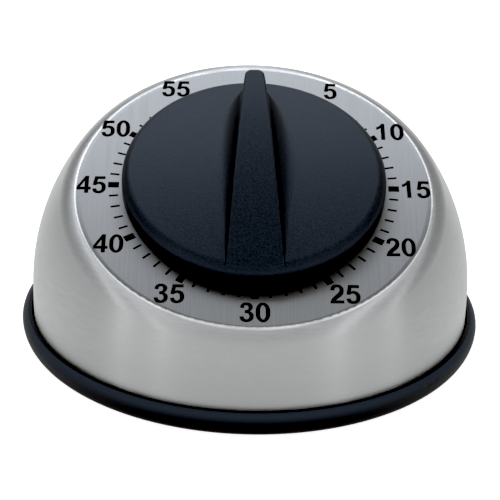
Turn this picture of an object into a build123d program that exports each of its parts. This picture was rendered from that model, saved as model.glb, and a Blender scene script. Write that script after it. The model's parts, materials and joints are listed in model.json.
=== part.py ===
from build123d import *
import os
from math import acos, asin, cos, hypot, pi, radians, sin, sqrt, tan

# A wind-up 60 minute kitchen timer, in millimetres. +Z is up, the origin is under the middle of the
# base, and the slanted dial faces -Y. The movement hangs from the dial, so its places are given as
# (across, up the dial) from the dial's centre and as a depth below the dial's outer face.

# Fits
RUNNING_FIT = 0.05
SEAT_GAP = 0.02
TOUCH_GAP = 0.1
SCREW_CLEARANCE = 0.2
CUTTER_REACH = 3.0

# Dome
DOME_RADIUS = 42.0
DOME_ARC = 44.1
SKIRT_TOP = 10.0
SHEET = 0.7
DIAL_TILT = 23.4
DIAL_AXIS_Z = 13.3
DIAL_SET = 21.7
DIAL_EDGE = 4.3

# Base ring and base plate
RING_STAND = 2.2
RING_HEIGHT = 5.2
RING_LEDGE = 2.4
RING_FOOT_ROUND = 3.5
RING_LIP = 0.6
RING_GROOVE = 0.35
RING_FOOT_WIDTH = 2.7
FLOOR_Z = 1.2
FLOOR_THICKNESS = 2.0
UPSTAND_HEIGHT = 3.0
UPSTAND_WALL = 1.1
SLOT_COUNT = 12
SLOT_LENGTH = 13.0
SLOT_WIDTH = 2.2
SLOT_CIRCLE = 19.0

# Brackets and screws of the base
BRACKET_COUNT = 3
BRACKET_ANGLE = 12.0
BRACKET_START = 30.0
BRACKET_SHEET = 1.0
BRACKET_REACH = 10.5
BRACKET_HEIGHT = 6.8
BRACKET_ROOM = 1.0
BASE_SCREW_INSET = 7.0
BASE_SCREW_RADIUS = 1.4
BASE_SCREW_LENGTH = 5.4
BASE_HEAD_RADIUS = 2.8
BASE_HEAD_HEIGHT = 1.0
RECESS_WIDTH = 0.6
RECESS_SHARE = 1.2
RECESS_DEPTH = 0.5

# Knob
KNOB_RADIUS = 24.3
KNOB_GAP = 0.6
KNOB_CROWN = 5.9
KNOB_SHOULDER = 4.5
KNOB_SHOULDER_RADIUS = 22.6
KNOB_WALL = 1.6
HUB_RADIUS = 4.4
HUB_GAP = 0.4

# Pointer fin on the knob
FIN_FAR = 21.0
FIN_NEAR = -24.0
FIN_END_RADIUS = 23.5
FIN_HEIGHT = 10.2
FIN_PEAK = 18.0
FIN_ARCH_RADIUS = 150.0
FIN_TOP_FAR = 3.4
FIN_TOP_NEAR = 10.6
FIN_TAPER = 0.9
FIN_FLARE = 0.5
FIN_SCOOP = 1.25
FIN_SINK = 0.8
FIN_FOOT_SINK = 0.02
FIN_WAIST_OUT = 0.1
FIN_WAIST_UP = 0.32
FIN_ANKLE_OUT = 0.45
FIN_STATIONS = 9
FIN_TIP_ROUND = 1.4
FIN_EDGE_ROUND = 0.5

# Knob clip
CLIP_WIRE = 0.5
CLIP_HEIGHT = 1.0
CLIP_OPENING = 50.0

# Bush, nut and washer at the dial's centre
BUSH_RADIUS = 4.0
BUSH_FLANGE_RADIUS = 6.5
BUSH_SPIGOT_RADIUS = 3.2
NUT_HEIGHT = 1.5
NUT_FLATS = 11.0
WASHER = 0.35
WASHER_RADIUS = 6.8
PIN_RADIUS = 1.0
PIN_PLACE = (0.0, 11.0)

# Movement frame
FRONT_GAP = 1.0
PLATE = 1.2
PLATE_SPACE = 13.2
PLATE_MARGIN = 2.6
PILLAR_RADIUS = 1.8
PILLAR_BOSS = 3.6
PILLAR_ANGLES = (40.0, 160.0, 280.0)
PILLAR_SCREW_RADIUS = 0.9
PILLAR_SCREW_LENGTH = 4.0
PILLAR_HEAD_RADIUS = 1.7
PILLAR_HEAD_HEIGHT = 0.9
END_SHAKE = 0.15
PIVOT_RADIUS = 0.5
ARBOR_RADIUS = 0.8

# Gear teeth
PRESSURE_ANGLE = radians(25.0)
ADDENDUM = 0.75
DEDENDUM = 0.95
TOOTH_THINNING = 0.05
WHEEL_TEETH = 60
PINION_LEAVES = 10
MAIN_MODULE = 0.4
SECOND_MODULE = 0.35
THIRD_MODULE = 0.3
SECOND_ANGLE = 180.0
THIRD_ANGLE = 70.0
ESCAPE_ANGLE = 30.0
WHEEL = 0.8
MAIN_WHEEL = 1.0
LEAF_OVERHANG = 0.4
WHEEL_WINDOWS = 5
WINDOW_SHARE = 0.24

# Winding arbor, clutch and mainspring
JOURNAL_RADIUS = 2.0
SHAFT_RADIUS = 2.6
REAR_RADIUS = 1.5
D_FLAT = 1.5
ARBOR_TOP = 6.6
FLANGE_RADIUS = 4.0
FLANGE = 0.6
COLLAR_RADIUS = 4.2
COLLAR = 1.0
CLUTCH_RADIUS = 6.0
CLUTCH_SHEET = 0.25
CLUTCH_RISE = 0.6
LEVEL_GAP = 0.7
SPRING_STRIP = 0.3
SPRING_PITCH = 1.05
SPRING_HALF_TURNS = 14
SPRING_SIDE_GAP = 0.3
SPRING_POST_RADIUS = 0.8

# Escapement
ESCAPE_TEETH = 18
ESCAPE_TIP = 5.0
ESCAPE_ROOT = 3.7
ESCAPE_LAND = 1.5
ESCAPE_FACE = 3.0
BALANCE_REACH = 7.5
BALANCE_ANGLE = 10.0
PALLET_SPAN = 45.0
PALLET_PIN_RADIUS = 0.3
PALLET_PIN_CLEARANCE = 0.62
PALLET_HUB = 1.7
PALLET_ARM = 1.4
PALLET_BOSS = 0.9
PALLET_SHEET = 1.0
BALANCE_HALF = 6.5
BALANCE_WIDTH = 2.2
BALANCE_WEIGHT = 1.8
BALANCE_HEIGHT = 2.0

# Bell and hammer
STAR_POINTS = 8
STAR_TIP = 3.0
STAR_ROOT = 2.0
CAM_RADIUS = 4.0
CAM_NOTCH_DEPTH = 1.5
CAM_NOTCH_LEFT = 1.3
CAM_NOTCH_RIGHT = 2.5
LEVER_GAP = 0.7
LEVER_SHEET = 1.2
LEVER_ARM = 1.4
LEVER_HUB = 2.1
TAIL_LENGTH = 3.5
TAIL_GAP = 0.6
NOSE_GAP = 0.3
NOSE_LENGTH = 1.0
NOSE_BEND = 2.0
HAMMER_ANGLE = 160.0
HAMMER_GAP = 1.1
HAMMER_RADIUS = 2.0
HAMMER_LENGTH = 4.0
HAMMER_PIN_RADIUS = 1.0
HAMMER_PIN_HEAD = 1.7
HAMMER_PIN_CAP = 0.5
STUD_RADIUS = 0.9
LEAF = 0.25
LEAF_WIDTH = 0.9
LEAF_START = -13.0
LEAF_END = -2.5
BELL_PLACE = (0.0, 8.0)
BELL_RADIUS = 17.0
BELL_SHEET = 0.6
BELL_DEPTH = 7.0
BELL_ROUND = 4.0
BELL_RIM_GAP = 1.0
BELL_POST_RADIUS = 2.0
BELL_SCREW_RADIUS = 1.25
BELL_SCREW_LENGTH = 4.0
BELL_HEAD_RADIUS = 2.6
BELL_HEAD_HEIGHT = 1.4

# The dial's frame: x across, y up the dial, z out of the dial
tilt = radians(DIAL_TILT)
dial_out = Vector(0, -sin(tilt), cos(tilt))
dial_centre = Vector(0, 0, DIAL_AXIS_Z) + dial_out * DIAL_SET
dial = Plane(origin=dial_centre, x_dir=(1, 0, 0), z_dir=dial_out)


def spot_plane(spot, depth):
    """A plane parallel to the dial, centred on a spot, at a depth below the dial's face."""
    return Plane(dial.from_local_coords((spot[0], spot[1], -depth)), dial.x_dir, dial.z_dir)


def side_plane(spot):
    """A plane through a spot's axis: x is the radius and y the height above the dial's face."""
    return Plane(dial.from_local_coords((spot[0], spot[1], 0)), dial.x_dir, -dial.y_dir)


def spot_axis(spot):
    """The axis through a spot, square to the dial."""
    return Axis(dial.from_local_coords((spot[0], spot[1], 0)), dial.z_dir)


def away(spot, distance, angle):
    """The spot at a distance and an angle in degrees from another."""
    return (spot[0] + distance * cos(radians(angle)), spot[1] + distance * sin(radians(angle)))


def polar(radius, angle):
    """A point at a radius and an angle in radians."""
    return (radius * cos(angle), radius * sin(angle))


# Centre distances and spots of the train
pinion_share = (WHEEL_TEETH + PINION_LEAVES) / 2
main_spot = (0.0, 0.0)
second_spot = away(main_spot, pinion_share * MAIN_MODULE, SECOND_ANGLE)
third_spot = away(second_spot, pinion_share * SECOND_MODULE, THIRD_ANGLE)
escape_spot = away(third_spot, pinion_share * THIRD_MODULE, ESCAPE_ANGLE)
balance_spot = away(escape_spot, BALANCE_REACH, BALANCE_ANGLE)
half_leaf = 180.0 / PINION_LEAVES

# The pillars stand clear of the second wheel
second_tip = (WHEEL_TEETH / 2 + ADDENDUM) * SECOND_MODULE
pillar_turn = radians(PILLAR_ANGLES[1] - SECOND_ANGLE)
pillar_reach = second_tip + PILLAR_RADIUS + 2 * NOSE_GAP
second_distance = hypot(*second_spot)
pillar_circle = second_distance * cos(pillar_turn) + sqrt(
    pillar_reach**2 - (second_distance * sin(pillar_turn)) ** 2
)
pillar_spots = [away(main_spot, pillar_circle, angle) for angle in PILLAR_ANGLES]
plate_radius = hypot(*balance_spot) + PLATE_MARGIN

# Depths of the movement's levels, from the front
plate_top = SHEET + FRONT_GAP
inside = plate_top + PLATE
back_top = inside + PLATE_SPACE
back_bottom = back_top + PLATE
third_top = inside + LEVEL_GAP
third_bottom = third_top + WHEEL
second_top = third_bottom + LEVEL_GAP + LEAF_OVERHANG
second_bottom = second_top + WHEEL
collar_top = second_bottom + LEVEL_GAP
collar_bottom = collar_top + COLLAR
main_top = collar_bottom + CLUTCH_RISE
main_bottom = main_top + MAIN_WHEEL
flange_bottom = main_bottom + FLANGE
spring_top = flange_bottom + SPRING_SIDE_GAP
spring_bottom = back_top - SPRING_SIDE_GAP
balance_top = second_bottom - SPRING_SIDE_GAP
balance_bottom = balance_top + BALANCE_HEIGHT
pallet_top = main_bottom + LEVEL_GAP
pallet_bottom = pallet_top + PALLET_SHEET
escape_top = pallet_bottom + NOSE_GAP
escape_bottom = escape_top + WHEEL
lever_top = back_bottom + LEVER_GAP
lever_bottom = lever_top + LEVER_SHEET
rim_depth = lever_bottom + BELL_RIM_GAP
crown_depth = rim_depth + BELL_DEPTH

# Heights and radii of the base
skirt_inner = DOME_RADIUS - SHEET
ring_outer = DOME_RADIUS + RING_STAND
ring_wall = DOME_RADIUS + RING_GROOVE
ring_inner = ring_outer - RING_FOOT_ROUND - RING_FOOT_WIDTH
floor_top = FLOOR_Z + FLOOR_THICKNESS
flange_outer = skirt_inner - 2 * TOUCH_GAP
upstand_inner = flange_outer - UPSTAND_WALL
shell_bottom = RING_LEDGE + TOUCH_GAP
base_screw_circle = skirt_inner - BASE_SCREW_INSET

os.makedirs("parts", exist_ok=True)


def save(piece, name):
    """Label a finished piece and write it."""
    piece.part.label = name
    export_step(piece.part, f"parts/{name}.step")


# Dome shell: a skirt and an arc turned about Z, cut by the dial, less the same one sheet smaller


def dome_core(inset, bottom, edge):
    """The dome as a solid, set in by a wall, with its dial's edge rounded."""
    with BuildPart() as core:
        radius = DOME_RADIUS - inset
        arc = DOME_ARC - inset
        arc_centre = radius - arc
        rise = acos(-arc_centre / arc)
        with BuildSketch(Plane.XZ):
            with BuildLine():
                Polyline(
                    (0, SKIRT_TOP + arc * sin(rise)),
                    (0, bottom),
                    (radius, bottom),
                    (radius, SKIRT_TOP),
                )
                CenterArc((arc_centre, SKIRT_TOP), arc, 0, rise * 180 / pi)
            make_face()
        revolve(axis=Axis.Z)
        split(bisect_by=dial.offset(-inset), keep=Keep.BOTTOM)
        rim = core.faces().sort_by(Axis(dial_centre, dial_out))[-1]
        fillet(rim.edges(), edge)
    return core.part


with BuildPart() as dome_shell:
    add(dome_core(0, shell_bottom, DIAL_EDGE))
    add(dome_core(SHEET, shell_bottom - SHEET, DIAL_EDGE - SHEET), mode=Mode.SUBTRACT)
    with BuildSketch(dial):
        Circle(BUSH_RADIUS + TOUCH_GAP)
        with Locations(PIN_PLACE):
            Circle(PIN_RADIUS + RUNNING_FIT)
    extrude(amount=-CUTTER_REACH * SHEET, mode=Mode.SUBTRACT)
save(dome_shell, "dome_shell")

# Base ring: a rubber bead with a flat foot and a ledge for the shell and the floor
with BuildPart() as base_ring:
    foot_outer = ring_outer - RING_FOOT_ROUND
    bead_top = (ring_wall + RING_LIP, RING_HEIGHT)
    with BuildSketch(Plane.XZ):
        with BuildLine():
            Line((ring_inner, 0), (foot_outer, 0))
            CenterArc((foot_outer, RING_FOOT_ROUND), RING_FOOT_ROUND, -90, 90)
            TangentArc((ring_outer, RING_FOOT_ROUND), bead_top, tangent=(0, 1))
            Polyline(
                bead_top,
                (ring_wall, RING_HEIGHT),
                (ring_wall, RING_LEDGE),
                (ring_inner, RING_LEDGE),
                (ring_inner, 0),
            )
        make_face()
    revolve(axis=Axis.Z)
save(base_ring, "base_ring")

# Base plate: the floor of the case, with sound slots and an upstand inside the skirt
with BuildPart() as base_plate:
    with BuildSketch(Plane.XZ):
        with BuildLine():
            Polyline(
                (0, FLOOR_Z),
                (ring_inner - TOUCH_GAP, FLOOR_Z),
                (ring_inner - TOUCH_GAP, RING_LEDGE),
                (flange_outer, RING_LEDGE),
                (flange_outer, floor_top + UPSTAND_HEIGHT),
                (upstand_inner, floor_top + UPSTAND_HEIGHT),
                (upstand_inner, floor_top),
                (0, floor_top),
                close=True,
            )
        make_face()
    revolve(axis=Axis.Z)
    with BuildSketch(Plane.XY.offset(floor_top)):
        with PolarLocations(SLOT_CIRCLE, SLOT_COUNT):
            SlotOverall(SLOT_LENGTH, SLOT_WIDTH)
        with PolarLocations(base_screw_circle, BRACKET_COUNT, start_angle=BRACKET_START):
            Circle(BASE_SCREW_RADIUS + SCREW_CLEARANCE)
    extrude(amount=-FLOOR_THICKNESS, mode=Mode.SUBTRACT)
    bracket_width = 2 * skirt_inner * sin(radians(BRACKET_ANGLE / 2)) + 2 * BRACKET_ROOM
    with BuildSketch(Plane.XY.offset(floor_top)):
        with PolarLocations(skirt_inner, BRACKET_COUNT, start_angle=BRACKET_START):
            Rectangle(CUTTER_REACH * UPSTAND_WALL, bracket_width)
    extrude(amount=UPSTAND_HEIGHT, mode=Mode.SUBTRACT)
save(base_plate, "base_plate")

# Shell brackets: angles welded inside the skirt, tapped for the base screws
with BuildPart() as shell_brackets:
    bracket_outer = skirt_inner - TOUCH_GAP
    bracket_inner = bracket_outer - BRACKET_REACH
    leg_top = floor_top + BRACKET_HEIGHT
    for number in range(BRACKET_COUNT):
        turn = BRACKET_START + 360 / BRACKET_COUNT * number - BRACKET_ANGLE / 2
        with BuildSketch(Plane.XZ.rotated((0, 0, turn))):
            with BuildLine():
                Polyline(
                    (bracket_inner, floor_top),
                    (bracket_outer, floor_top),
                    (bracket_outer, leg_top),
                    (bracket_outer - BRACKET_SHEET, leg_top),
                    (bracket_outer - BRACKET_SHEET, floor_top + BRACKET_SHEET),
                    (bracket_inner, floor_top + BRACKET_SHEET),
                    close=True,
                )
            make_face()
        revolve(axis=Axis.Z, revolution_arc=BRACKET_ANGLE)
    with BuildSketch(Plane.XY.offset(floor_top)):
        with PolarLocations(base_screw_circle, BRACKET_COUNT, start_angle=BRACKET_START):
            Circle(BASE_SCREW_RADIUS + SEAT_GAP)
    extrude(amount=BRACKET_SHEET, mode=Mode.SUBTRACT)
save(shell_brackets, "shell_brackets")

# Base screws: pan heads under the floor, with a cross recess
with BuildPart(Plane.XY.offset(FLOOR_Z)) as base_screws:
    with PolarLocations(base_screw_circle, BRACKET_COUNT, start_angle=BRACKET_START):
        Cylinder(BASE_SCREW_RADIUS, BASE_SCREW_LENGTH, align=(Align.CENTER, Align.CENTER, Align.MIN))
        Cylinder(BASE_HEAD_RADIUS, BASE_HEAD_HEIGHT, align=(Align.CENTER, Align.CENTER, Align.MAX))
    with BuildSketch(Plane.XY.offset(FLOOR_Z - BASE_HEAD_HEIGHT)):
        with PolarLocations(base_screw_circle, BRACKET_COUNT, start_angle=BRACKET_START):
            Rectangle(RECESS_SHARE * BASE_HEAD_RADIUS, RECESS_WIDTH)
            Rectangle(RECESS_WIDTH, RECESS_SHARE * BASE_HEAD_RADIUS)
    extrude(amount=RECESS_DEPTH, mode=Mode.SUBTRACT)
save(base_screws, "base_screws")

# Knob: a crowned disc, hollow below, with an arched pointer fin and a D-bored hub
crown_radius = (KNOB_SHOULDER_RADIUS**2 + (KNOB_CROWN - KNOB_SHOULDER) ** 2) / (
    2 * (KNOB_CROWN - KNOB_SHOULDER)
)
crown_slope = asin(KNOB_SHOULDER_RADIUS / crown_radius)
rim_round = (KNOB_RADIUS - KNOB_SHOULDER_RADIUS) / (1 - sin(crown_slope))
rim_height = KNOB_SHOULDER - rim_round * cos(crown_slope)
bush_top = WASHER + NUT_HEIGHT
hub_bottom = bush_top + HUB_GAP
hollow_radius = KNOB_RADIUS - KNOB_WALL


def crown_height(radius):
    """Height of the knob's face above the dial at a radius inside the shoulder."""
    return KNOB_CROWN - crown_radius + sqrt(crown_radius**2 - radius**2)


def fin_top(reach):
    """Height of the fin's arched back at a distance up the dial."""
    fall = max(FIN_PEAK - reach, 0)
    return FIN_HEIGHT - FIN_ARCH_RADIUS + sqrt(FIN_ARCH_RADIUS**2 - fall**2)


def fin_section(share):
    """One section of the fin, from the tip at 0 to the near end at 1: hollow walls that run out into the face."""
    reach = FIN_FAR + (FIN_NEAR - FIN_FAR) * share
    top = fin_top(reach)
    top_half = (FIN_TOP_FAR + (FIN_TOP_NEAR - FIN_TOP_FAR) * share**FIN_TAPER) / 2
    rise = max(top - crown_height(min(abs(reach), KNOB_SHOULDER_RADIUS)), 0)
    lean = FIN_FLARE + FIN_SCOOP * rise * sin(pi * share)
    base_half = top_half + lean
    face = crown_height(min(hypot(base_half, reach), KNOB_SHOULDER_RADIUS))
    foot = min(face - FIN_FOOT_SINK, top - FIN_SINK)
    waist_half = top_half + FIN_WAIST_OUT * lean
    waist = foot + FIN_WAIST_UP * (top - foot)
    ankle_half = top_half + FIN_ANKLE_OUT * lean
    ankle = foot + (base_half - ankle_half) * base_half / crown_radius
    with BuildSketch(side_plane((0, reach))) as section:
        with BuildLine():
            Bezier((base_half, foot), (ankle_half, ankle), (waist_half, waist), (top_half, top))
            Line((top_half, top), (-top_half, top))
            Bezier((-top_half, top), (-waist_half, waist), (-ankle_half, ankle), (-base_half, foot))
            Line((-base_half, foot), (base_half, foot))
        make_face()
    return section.sketch


def pointer_fin():
    """The arched fin: lofted from the tip to the near end, cut round with the knob's rim, its edges rounded."""
    with BuildPart() as fin:
        loft([fin_section(station / (FIN_STATIONS - 1)) for station in range(FIN_STATIONS)])
        along = Axis(dial_centre, dial.y_dir)
        far_sides = fin.faces().sort_by(along)[-1].edges().sort_by(Axis.X)
        fillet([far_sides[0], far_sides[-1]], FIN_TIP_ROUND)
        with BuildSketch(dial):
            Circle(FIN_END_RADIUS)
        extrude(amount=FIN_HEIGHT + FIN_SINK, mode=Mode.INTERSECT)
        back = fin.faces().sort_by(Axis(dial_centre, dial_out))[-1]
        fillet(back.edges(), FIN_EDGE_ROUND)
    return fin.part


with BuildPart() as knob:
    with BuildSketch(side_plane(main_spot)):
        with BuildLine():
            CenterArc((0, KNOB_CROWN - crown_radius), crown_radius, 90, -crown_slope * 180 / pi)
            TangentArc(
                (KNOB_SHOULDER_RADIUS, KNOB_SHOULDER),
                (KNOB_RADIUS, rim_height),
                tangent=(cos(crown_slope), -sin(crown_slope)),
            )
            Polyline(
                (KNOB_RADIUS, rim_height),
                (KNOB_RADIUS, KNOB_GAP),
                (hollow_radius, KNOB_GAP),
                (hollow_radius, rim_height),
                (KNOB_SHOULDER_RADIUS, KNOB_SHOULDER - KNOB_WALL),
                (HUB_RADIUS, crown_height(HUB_RADIUS) - KNOB_WALL),
                (HUB_RADIUS, hub_bottom),
                (0, hub_bottom),
                (0, KNOB_CROWN),
            )
        make_face()
    revolve(axis=spot_axis(main_spot))
    add(pointer_fin())
    with BuildSketch(dial.offset(hub_bottom)):
        Circle(JOURNAL_RADIUS + RUNNING_FIT)
        with Locations((D_FLAT + RUNNING_FIT, 0)):
            Rectangle(
                JOURNAL_RADIUS,
                CUTTER_REACH * JOURNAL_RADIUS,
                align=(Align.MIN, Align.CENTER),
                mode=Mode.SUBTRACT,
            )
    extrude(amount=ARBOR_TOP + TOUCH_GAP - hub_bottom, mode=Mode.SUBTRACT)
save(knob, "knob")

# Knob clip: a split spring ring round the hub
with BuildPart() as knob_clip:
    with BuildSketch(dial.offset(hub_bottom)):
        with BuildLine():
            CenterArc((0, 0), HUB_RADIUS + SEAT_GAP, CLIP_OPENING / 2, 360 - CLIP_OPENING)
            CenterArc((0, 0), HUB_RADIUS + SEAT_GAP + CLIP_WIRE, CLIP_OPENING / 2, 360 - CLIP_OPENING)
            for end in (CLIP_OPENING / 2, -CLIP_OPENING / 2):
                Line(
                    polar(HUB_RADIUS + SEAT_GAP, radians(end)),
                    polar(HUB_RADIUS + SEAT_GAP + CLIP_WIRE, radians(end)),
                )
        make_face()
    extrude(amount=CLIP_HEIGHT)
save(knob_clip, "knob_clip")


def turned(spot, steps):
    """A round piece turned about a spot's axis, from steps of (top depth, bottom depth, radius)."""
    with BuildPart() as piece:
        corners = [(0, -steps[0][0])]
        for top, bottom, radius in steps:
            corners += [(radius, -top), (radius, -bottom)]
        corners.append((0, -steps[-1][1]))
        with BuildSketch(side_plane(spot)):
            with BuildLine():
                Polyline(*corners, close=True)
            make_face()
        revolve(axis=spot_axis(spot))
    return piece


def tube(spot, top, bottom, inner, outer):
    """A plain ring about a spot's axis."""
    with BuildPart() as piece:
        with BuildSketch(spot_plane(spot, bottom)):
            Circle(outer)
            Circle(inner, mode=Mode.SUBTRACT)
        extrude(amount=bottom - top)
    return piece


# Centre bush: flange under the dial, body through it, spigot in the front plate
with BuildPart() as centre_bush:
    with BuildSketch(side_plane(main_spot)):
        with BuildLine():
            Polyline(
                (JOURNAL_RADIUS + RUNNING_FIT, bush_top),
                (BUSH_RADIUS, bush_top),
                (BUSH_RADIUS, -SHEET),
                (BUSH_FLANGE_RADIUS, -SHEET),
                (BUSH_FLANGE_RADIUS, -plate_top),
                (BUSH_SPIGOT_RADIUS, -plate_top),
                (BUSH_SPIGOT_RADIUS, -inside),
                (JOURNAL_RADIUS + RUNNING_FIT, -inside),
                close=True,
            )
        make_face()
    revolve(axis=spot_axis(main_spot))
save(centre_bush, "centre_bush")

# Centre nut and the washer under it
with BuildPart() as centre_nut:
    with BuildSketch(dial.offset(WASHER)):
        RegularPolygon(NUT_FLATS / 2, 6, major_radius=False)
        Circle(BUSH_RADIUS + SEAT_GAP, mode=Mode.SUBTRACT)
    extrude(amount=NUT_HEIGHT)
save(centre_nut, "centre_nut")
save(tube(main_spot, -WASHER, 0, BUSH_RADIUS + TOUCH_GAP, WASHER_RADIUS), "dial_washer")
save(turned(PIN_PLACE, [(TOUCH_GAP, inside, PIN_RADIUS)]), "locating_pin")


def movement_plate(bottom, holes):
    """A plate with three pillar corners and holes of (spot, radius)."""
    with BuildPart() as plate:
        with BuildSketch(dial.offset(-bottom)):
            Circle(plate_radius)
            with Locations(*pillar_spots):
                Circle(PILLAR_BOSS)
            make_hull()
            for spot, radius in holes:
                with Locations(spot):
                    Circle(radius, mode=Mode.SUBTRACT)
        extrude(amount=PLATE)
    return plate


# Front and back plates with the pivot holes that they share
pivot_hole = PIVOT_RADIUS + RUNNING_FIT
shared_holes = [(third_spot, pivot_hole), (escape_spot, pivot_hole), (balance_spot, pivot_hole)]
front_holes = shared_holes + [
    (second_spot, pivot_hole),
    (main_spot, BUSH_SPIGOT_RADIUS + SEAT_GAP),
    (PIN_PLACE, PIN_RADIUS + SEAT_GAP),
]
star_seat = ARBOR_RADIUS - TOUCH_GAP
post_spot = (
    main_spot[0] + SHAFT_RADIUS + TOUCH_GAP + SPRING_STRIP / 2 + SPRING_PITCH * SPRING_HALF_TURNS / 2,
    main_spot[1] + SPRING_POST_RADIUS + TOUCH_GAP,
)
screw_hole = PILLAR_SCREW_RADIUS + SCREW_CLEARANCE
back_holes = shared_holes + [
    (second_spot, star_seat + RUNNING_FIT),
    (main_spot, REAR_RADIUS + RUNNING_FIT),
    (post_spot, SPRING_POST_RADIUS + SEAT_GAP),
]
back_holes += [(spot, screw_hole) for spot in pillar_spots]
save(movement_plate(inside, front_holes), "front_plate")
save(movement_plate(back_bottom, back_holes), "back_plate")

# Pillars between the plates, tapped for the screws at the back
with BuildPart(dial.offset(-back_top)) as plate_pillars:
    with Locations(*pillar_spots):
        Cylinder(PILLAR_RADIUS, PLATE_SPACE, align=(Align.CENTER, Align.CENTER, Align.MIN))
    with Locations(*pillar_spots):
        Cylinder(
            PILLAR_SCREW_RADIUS + SEAT_GAP,
            PILLAR_SCREW_LENGTH,
            align=(Align.CENTER, Align.CENTER, Align.MIN),
            mode=Mode.SUBTRACT,
        )
save(plate_pillars, "plate_pillars")

# Pillar screws with slotted heads
with BuildPart(dial.offset(-back_bottom)) as pillar_screws:
    with Locations(*pillar_spots):
        Cylinder(
            PILLAR_SCREW_RADIUS,
            PILLAR_SCREW_LENGTH,
            align=(Align.CENTER, Align.CENTER, Align.MIN),
        )
        Cylinder(
            PILLAR_HEAD_RADIUS,
            PILLAR_HEAD_HEIGHT,
            align=(Align.CENTER, Align.CENTER, Align.MAX),
        )
    with BuildSketch(dial.offset(-back_bottom - PILLAR_HEAD_HEIGHT)):
        with Locations(*pillar_spots):
            Rectangle(CUTTER_REACH * PILLAR_HEAD_RADIUS, RECESS_WIDTH)
    extrude(amount=RECESS_DEPTH, mode=Mode.SUBTRACT)
save(pillar_screws, "pillar_screws")


def toothed_outline(teeth, module, phase):
    """A gear's outline with short involute teeth, one of them centred on the phase angle."""
    pitch = teeth * module / 2
    base = pitch * cos(PRESSURE_ANGLE)
    tip = pitch + ADDENDUM * module
    root = pitch - DEDENDUM * module
    foot = max(base, root)
    middle = (foot + tip) / 2
    pitch_half = pi / (2 * teeth) - TOOTH_THINNING / (2 * pitch)

    def half_tooth(radius):
        roll = acos(min(base / radius, 1))
        return pitch_half + (tan(PRESSURE_ANGLE) - PRESSURE_ANGLE) - (tan(roll) - roll)

    with BuildSketch() as outline:
        with BuildLine():
            for tooth in range(teeth):
                centre = radians(phase) + 2 * pi * tooth / teeth
                following = radians(phase) + 2 * pi * ((tooth + 1) % teeth) / teeth
                lead = [polar(r, centre - half_tooth(r)) for r in (foot, middle, tip)]
                trail = [polar(r, centre + half_tooth(r)) for r in (tip, middle, foot)]
                ThreePointArc(*lead)
                Line(lead[2], trail[0])
                ThreePointArc(*trail)
                start = polar(foot, following - half_tooth(foot))
                if root < foot:
                    left = polar(root, centre + half_tooth(foot))
                    right = polar(root, following - half_tooth(foot))
                    Polyline(trail[2], left, right, start)
                else:
                    Line(trail[2], start)
        make_face()
    return outline.sketch


def wheel(spot, top, bottom, module, phase, bore):
    """A wheel with round windows between its hub and its rim."""
    with BuildPart() as piece:
        pitch = WHEEL_TEETH * module / 2
        with BuildSketch(spot_plane(spot, bottom)):
            add(toothed_outline(WHEEL_TEETH, module, phase))
            Circle(bore, mode=Mode.SUBTRACT)
            window = WINDOW_SHARE * (pitch - bore)
            with PolarLocations((bore + pitch) / 2 + window / 4, WHEEL_WINDOWS):
                Circle(window, mode=Mode.SUBTRACT)
        extrude(amount=bottom - top)
    return piece


def pinion(spot, steps, module, phase, leaf_top, leaf_bottom):
    """An arbor turned in steps, with its pinion's leaves cut on it."""
    with BuildPart() as piece:
        add(turned(spot, steps).part)
        with BuildSketch(spot_plane(spot, leaf_bottom)):
            add(toothed_outline(PINION_LEAVES, module, phase))
        extrude(amount=leaf_bottom - leaf_top)
    return piece


# Winding arbor with its clutch flange and a D flat for the knob
with BuildPart() as main_arbor:
    add(
        turned(
            main_spot,
            [
                (-ARBOR_TOP, inside + END_SHAKE, JOURNAL_RADIUS),
                (inside + END_SHAKE, main_bottom, SHAFT_RADIUS),
                (main_bottom, flange_bottom, FLANGE_RADIUS),
                (flange_bottom, back_top - END_SHAKE, SHAFT_RADIUS),
                (back_top - END_SHAKE, lever_bottom + TOUCH_GAP, REAR_RADIUS),
            ],
        ).part
    )
    with BuildSketch(dial.offset(hub_bottom)):
        with Locations((D_FLAT, 0)):
            Rectangle(JOURNAL_RADIUS, CUTTER_REACH * JOURNAL_RADIUS, align=(Align.MIN, Align.CENTER))
    extrude(amount=ARBOR_TOP, mode=Mode.SUBTRACT)
save(main_arbor, "main_arbor")

main_wheel = wheel(main_spot, main_top, main_bottom, MAIN_MODULE, SECOND_ANGLE, SHAFT_RADIUS + RUNNING_FIT)
save(main_wheel, "main_wheel")
save(tube(main_spot, collar_top, collar_bottom, SHAFT_RADIUS + SEAT_GAP, COLLAR_RADIUS), "clutch_collar")

# Clutch spring: a dished washer between the collar and the main wheel
with BuildPart() as clutch_spring:
    clutch_bore = SHAFT_RADIUS + TOUCH_GAP
    with BuildSketch(side_plane(main_spot)):
        with BuildLine():
            Polyline(
                (clutch_bore, -collar_bottom - SEAT_GAP),
                (CLUTCH_RADIUS, -main_top + SEAT_GAP + CLUTCH_SHEET),
                (CLUTCH_RADIUS, -main_top + SEAT_GAP),
                (clutch_bore, -collar_bottom - SEAT_GAP - CLUTCH_SHEET),
                close=True,
            )
        make_face()
    revolve(axis=spot_axis(main_spot))
save(clutch_spring, "clutch_spring")

# Trip cam: a disc whose notch faces the lever's nose at zero
with BuildPart() as trip_cam:
    with BuildSketch(dial.offset(-lever_bottom)):
        Circle(CAM_RADIUS)
        Circle(REAR_RADIUS + SEAT_GAP, mode=Mode.SUBTRACT)
        with Locations((-CAM_NOTCH_LEFT, -CAM_RADIUS + CAM_NOTCH_DEPTH)):
            Rectangle(
                CAM_NOTCH_LEFT + CAM_NOTCH_RIGHT,
                CAM_RADIUS,
                align=(Align.MIN, Align.MAX),
                mode=Mode.SUBTRACT,
            )
    extrude(amount=LEVER_SHEET)
save(trip_cam, "trip_cam")

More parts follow.
